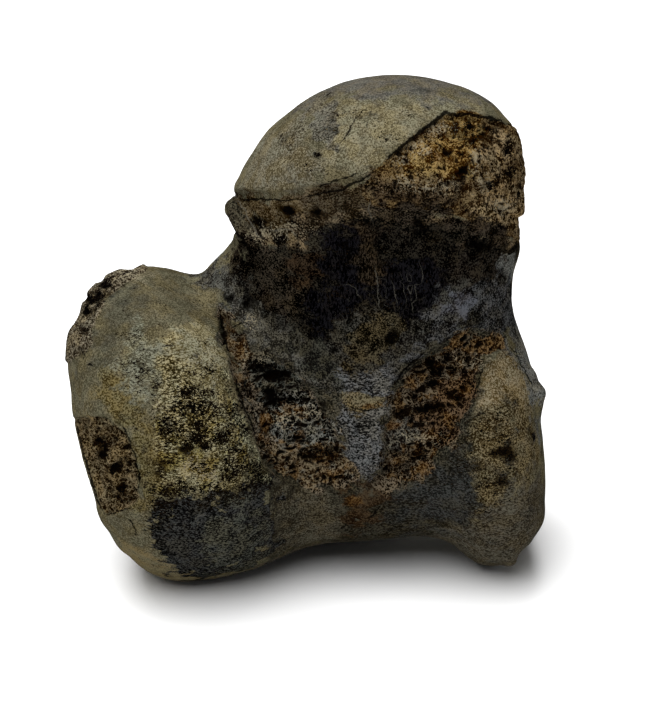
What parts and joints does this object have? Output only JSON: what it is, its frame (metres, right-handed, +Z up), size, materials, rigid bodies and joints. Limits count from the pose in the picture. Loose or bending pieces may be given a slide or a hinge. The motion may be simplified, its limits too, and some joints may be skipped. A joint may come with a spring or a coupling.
{
  "type": "fossil ankle bone",
  "caption": "Fossil ankle bone (astragalus) with a domed head, a broad hollowed neck and a two-lobed pulley joint, worn spongy along its edges.",
  "frame": {"origin": "centre of the bone's bounding box in X and Y, at the level it stands on", "axes": "+Z up from the pulley lobes to the head, -Y the front (dorsal) side, +X the inner (medial) side"},
  "size_m": [0.0612, 0.0412, 0.0656],
  "materials": {
    "fossil_bone": "satin, mottled olive-brown, blue-black and ochre"
  },
  "bodies": {
    "root": {"ankle_bone": "fossil_bone"}
  },
  "joints": []
}
